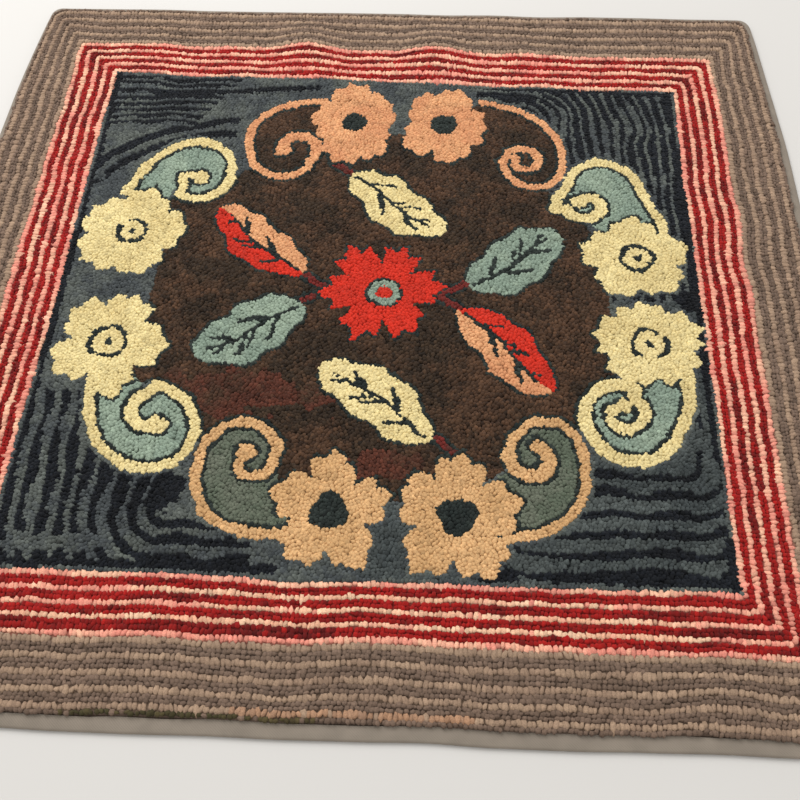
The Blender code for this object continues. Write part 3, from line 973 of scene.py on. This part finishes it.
def border_line(outer, inner, rows, i, part, lines, seed):
    """Loops of one line of a band's row."""
    yarn = rows[i][0]
    pitch = BORDER_ROWS[yarn]["pitch"]
    rng = np.random.default_rng(seed + 2 * i + part)
    offsets = row_offsets(outer, inner, rows, i + (part + 0.5) / lines)
    x, y, angle, along = rounded_ring(offsets, pitch)
    count = len(x)
    side = np.round(np.degrees(angle) / 90.0 + 1).astype(int) % 4
    at_front = side == 0
    wobble = waver(x, y, BORDER_LOOP.wobble, 91) + rng.normal(0.0, BORDER_LOOP.jitter, count)
    slide = rng.normal(0.0, BORDER_LOOP.slide * pitch, count)
    codes = row_codes(yarn, i, x, at_front, rng)
    near, far = (row_offsets(outer, inner, rows, i + end) for end in (0.0, ROW_END))
    row_width = np.array([near[name] - far[name] for name in BANDS])[side] / lines
    change = (BORDER_ROWS[yarn]["change"], ROW_CHANGE_GRAIN)
    thick = 1.0 + waver(along, along * 0.0 + i, change, seed + 40)
    if rows is RED_BAND_ROWS:
        front = BANDS["front"]
        share = (offsets["front"] - front[outer]) / (front[inner] - front[outer])
        y, thick = widen_row(x, y, thick, at_front, share, yarn)
    x = open_rows(x, y)
    return {
        "x": x + wobble * np.cos(angle) - slide * np.sin(angle),
        "y": y + wobble * np.sin(angle) + slide * np.cos(angle),
        "angle": angle + rng.normal(0.0, BORDER_LOOP.turn, count),
        "yarn": codes,
        "long": BORDER_ROWS[yarn]["reach"] * row_width * thick * rng.normal(1.0, BORDER_LOOP.long, count),
        "wide": BORDER_LOOP.wide * pitch * rng.normal(1.0, BORDER_LOOP.wide_change, count),
        "foot": np.full(count, CROWN_HEIGHT - BORDER_LOOP.tall),
        "tall": BORDER_LOOP.tall + rng.normal(0.0, BORDER_LOOP.tall_change, count),
        "colour": yarn_colours(codes, along, np.full(count, 0.1 * i), seed + 60),
    }


def border_loops(outer, inner, rows, seed):
    """Loops of a band's rows, a wide row being hooked as two lines."""
    found = []
    for i, (_yarn, width) in enumerate(rows):
        lines = 2 if width > DOUBLE_ROW_FROM else 1
        found += [border_line(outer, inner, rows, i, part, lines, seed) for part in range(lines)]
    return {key: np.concatenate([part[key] for part in found]) for key in found[0]}


def make_border():
    """The border's loops."""
    red = border_loops("red", "field", RED_BAND_ROWS, 100)
    taupe = border_loops("tape", "red", TAUPE_BAND_ROWS, 200)
    loops = {key: np.concatenate((red[key], taupe[key])) for key in red}
    return make_pile(loops, BORDER_PIECES, BORDER_DOME, 140)


# Materials: what all fibres share, then each one's sheen, depth of its bumps, and the textures of its
# pattern with their scale and their darkest and lightest share
FIBRES = {"Roughness": 0.95, "Specular IOR Level": 0.15, "Sheen Roughness": 0.55}
PATTERN_RANGE = {"From Min": 0.3, "From Max": 0.7}
TEXTURE_DETAIL = 3.0
TWILL_DISTORTION = 1.5
BUMP_STRENGTH = 0.6
WOOL = {"sheen": 0.05, "bump_depth": 0.0004, "pattern": (("ShaderNodeTexNoise", 900.0, 0.76, 1.22),)}
BACK = {"sheen": 0.05, "bump_depth": 0.0006,
        "pattern": (("ShaderNodeTexNoise", 90.0, 0.85, 1.12), ("ShaderNodeTexNoise", 520.0, 0.72, 1.22))}
TWILL = {"sheen": 0.02, "bump_depth": 0.0002,
         "pattern": (("ShaderNodeTexNoise", 60.0, 0.92, 1.08), ("ShaderNodeTexWave", 260.0, 0.96, 1.05))}


def set_inputs(node, values):
    """Sets a shader node's inputs by name."""
    for name, value in values.items():
        node.inputs[name].default_value = value


def new_material(name, values):
    """A material with inputs of its main shader set."""
    material = bpy.data.materials.new(name)
    material.use_nodes = True
    set_inputs(material.node_tree.nodes["Principled BSDF"], values)
    return material


def yarn_material(name, sheen, pattern, bump_depth):
    """A fibrous material in the piece's own colours, with a pattern of textures."""
    material = new_material(name, {**FIBRES, "Sheen Weight": sheen})
    nodes = material.node_tree.nodes
    links = material.node_tree.links
    shader = nodes["Principled BSDF"]
    attribute = nodes.new("ShaderNodeVertexColor")
    attribute.layer_name = "wool"
    place = nodes.new("ShaderNodeTexCoord")
    colour = attribute.outputs["Color"]
    for kind, scale, low, high in pattern:
        texture = nodes.new(kind)
        set_inputs(texture, {"Scale": scale, "Detail": TEXTURE_DETAIL})
        if kind == "ShaderNodeTexWave":
            texture.bands_direction = "DIAGONAL"
            set_inputs(texture, {"Distortion": TWILL_DISTORTION})
        ramp = nodes.new("ShaderNodeMapRange")
        set_inputs(ramp, {**PATTERN_RANGE, "To Min": low, "To Max": high})
        mix = nodes.new("ShaderNodeVectorMath")
        mix.operation = "SCALE"
        links.new(place.outputs["Object"], texture.inputs["Vector"])
        links.new(texture.outputs["Fac"], ramp.inputs["Value"])
        links.new(colour, mix.inputs[0])
        links.new(ramp.outputs["Result"], mix.inputs["Scale"])
        colour = mix.outputs["Vector"]
    bump = nodes.new("ShaderNodeBump")
    set_inputs(bump, {"Strength": BUMP_STRENGTH, "Distance": bump_depth})
    links.new(colour, shader.inputs["Base Color"])
    links.new(texture.outputs["Fac"], bump.inputs["Height"])
    links.new(bump.outputs["Normal"], shader.inputs["Normal"])
    return material


def loft(lines, closed=True):
    """Triangles between lines of points that have the same count, each line joined to the next."""
    count = lines[0].shape[0]
    k = np.arange(count if closed else count - 1)
    after = (k + 1) % count
    faces = []
    for i in range(len(lines) - 1):
        a, b = i * count, (i + 1) * count
        faces.append(np.stack((a + k, a + after, b + after), -1))
        faces.append(np.stack((a + k, b + after, b + k), -1))
    return np.concatenate(faces)


def even_ring(offsets, count):
    """A rounded rectangle with a fixed number of points, so that rings can be lofted."""
    x, y, _angle, _along = rounded_ring(offsets, BESIDE)
    corner = int(np.argmin((x + WIDTH) ** 2 + (y + DEPTH) ** 2))
    x = np.roll(x, -corner)
    y = np.roll(y, -corner)
    px = np.interp(np.arange(count) / count * len(x), np.arange(len(x) + 1), np.append(x, x[0]))
    py = np.interp(np.arange(count) / count * len(y), np.arange(len(y) + 1), np.append(y, y[0]))
    return px, py


def cloth_rings():
    """Rings under the border's rows from the field outwards, with the yarn of the row over each."""
    rings = [(between("edge", "field", 1.0, BESIDE), "pink")]
    for outer, inner, rows in (("red", "field", RED_BAND_ROWS), ("tape", "red", TAUPE_BAND_ROWS)):
        rings += [(row_offsets(outer, inner, rows, i + 0.5), yarn) for i, (yarn, _width) in enumerate(rows)]
    return rings


def cloth_lines():
    """Rings of the cloth's upper side down to its hem and of its back, with a height and a yarn for each."""
    bed = FIELD_HEIGHT - BED_DEPTH
    hem_top = TAPE_UNDER_TOP - GAP
    fold = even(TAPE_THICKNESS + 2 * GAP)
    leg = even(TAPE_UNDER_LEG + GAP)
    wall = between("edge", "tape", 1.0, GAP)
    rings = cloth_rings()
    top = [(rings[0][0], bed - GAP, "pink")] + [(offsets, bed, yarn) for offsets, yarn in rings[1:]]
    hem = ((wall, bed), (wall, hem_top), (fold, hem_top), (fold, TAPE_INSIDE), (leg, TAPE_INSIDE),
           (leg, 0.0))
    top += [(offsets, height, "taupe_dark") for offsets, height in hem]
    under = [(leg, 0.0, "taupe_dark")]
    under += [(offsets, BACK_AT, yarn) for offsets, yarn in reversed(rings)
              if min(offsets.values()) > TAPE_UNDER_LEG + BESIDE]
    return (top, bed), (under, 0.0)


def make_foundation(yarn_map):
    """The cloth that the loops are hooked through: a bed under the pile, painted dark as shade between the
    loops, a thin hem, and the flat back.
    """
    grid_x, grid_y = field_raster()
    row, column = (np.unique(np.append(np.arange(0, size, CLOTH_STEP), size - 1)) for size in grid_x.shape)
    part = np.ix_(row, column)
    grid_x, grid_y = plan(grid_x[part], grid_y[part])
    points, faces, colours, uv = [], [], [], []
    reached = 0
    for shell, (lines, height) in zip(CLOTH_SHELLS, cloth_lines()):
        rims = []
        for offsets, rim_height, _yarn in lines:
            x, y = plan(*even_ring(offsets, CLOTH_POINTS))
            rims.append(np.stack((x, y, rim_height + lift(x, y)), -1))
        grid = np.stack((grid_x, grid_y, height + lift(grid_x, grid_y)), -1)
        codes = [np.full(CLOTH_POINTS, CODES[yarn]) for _offsets, _height, yarn in lines]
        codes = np.concatenate(codes + [yarn_map[part].ravel()])
        some = np.concatenate(rims + [grid.reshape(-1, 3)])
        grid_faces = loft(list(grid), closed=False)[:, ::shell.winding]
        faces += [loft(rims)[:, ::-1] + reached, grid_faces + reached + len(rims) * CLOTH_POINTS]
        points.append(some)
        # The upper side's yarns are darkened as painted shade seen between the loops; the back mixes yarn
        # and burlap
        colours.append(of_yarns("main")[codes] * shell.yarn + linear(BURLAP) * shell.burlap)
        uv.append(shell.map_at + shell.map_size * (some[:, :2] / MAP_SIDE + 0.5))
        reached += len(some)
    return add_mesh("foundation", *(np.concatenate(parts) for parts in (points, faces, colours, uv)))


def make_tape():
    """The folded tape round the edge. Its inner edge wavers, and dips where its ends meet."""
    lines = []
    for share, inset, height in TAPE_FOLD + TAPE_FOLD[:1]:
        x, y = even_ring(between("edge", "tape", share, inset), TAPE_POINTS)
        along_ends = np.abs(y) * WIDTH > np.abs(x) * DEPTH
        off_corner = np.clip(np.abs(np.abs(x) - np.abs(y)) / TAPE_OFF_CORNER, 0.0, 1.0)
        at_join = np.exp(-np.abs(x - TAPE_JOIN.x) / TAPE_JOIN.over)
        dip = np.where(y < TAPE_JOIN.y, TAPE_JOIN.dip * at_join, 0.0)
        inward = share * off_corner * (waver(x, y, TAPE_WAVER, 95) - dip)
        inward_x = np.where(along_ends, 0.0, np.sign(x) * inward)
        inward_y = np.where(along_ends, np.sign(y) * inward, 0.0)
        x, y = plan(x - inward_x, y - inward_y)
        lines.append(np.stack((x, y, height + lift(x, y)), -1))
    points = np.concatenate(lines)
    colours = np.tile(linear(TAPE_COLOUR), (len(points), 1))
    return add_mesh("edge_tape", points, loft(lines), colours)


def make_floor():
    """A plain pale floor."""
    mesh = bpy.data.meshes.new("floor")
    corners = [(x * FLOOR_REACH, y * FLOOR_REACH, 0) for x, y in ((-1, -1), (1, -1), (1, 1), (-1, 1))]
    mesh.from_pydata(corners, [], [(0, 1, 2, 3)])
    mesh.materials.append(new_material("pale_floor", FLOOR))
    floor = add_object("floor", mesh)
    floor.location.z = -FLOOR_DROP


def make_light():
    """The even light of a room, and one soft window behind the rug."""
    world = bpy.data.worlds.new("studio")
    world.use_nodes = True
    set_inputs(world.node_tree.nodes["Background"], ROOM_LIGHT)
    bpy.context.scene.world = world
    light = bpy.data.lights.new("soft_window", "AREA")
    light.energy = WINDOW.energy
    light.size = WINDOW.size
    lamp = add_object("soft_window", light)
    lamp.location = WINDOW.at
    lamp.rotation_euler = [math.radians(angle) for angle in WINDOW.turn]


def make_camera():
    """The camera, where the photograph was taken from."""
    camera = add_object("camera", bpy.data.cameras.new("camera"))
    camera.location = CAMERA_AT
    camera.rotation_euler = [math.radians(angle) for angle in CAMERA_TURN]
    camera.data.lens = CAMERA_LENS
    camera.data.sensor_width = CAMERA_SENSOR
    camera.data.clip_start = CAMERA_NEAR
    bpy.context.scene.camera = camera
    bpy.context.scene.view_settings.view_transform = "Standard"


def main():
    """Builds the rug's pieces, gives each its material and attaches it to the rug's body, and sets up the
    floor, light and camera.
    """
    wool = yarn_material("hooked_wool", **WOOL)
    back = yarn_material("hooked_back", **BACK)
    twill = yarn_material("tape_twill", **TWILL)
    pile, yarn_map = make_field()
    pile += make_border()
    foundation = make_foundation(yarn_map)
    tape = make_tape()
    for piece, material in [(piece, wool) for piece in pile] + [(foundation, back), (tape, twill)]:
        piece.data.materials.append(material)
        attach(piece, BODY)
    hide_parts("hooked_pile")
    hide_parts("binding_tape")
    make_floor()
    make_light()
    make_camera()
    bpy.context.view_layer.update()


main()
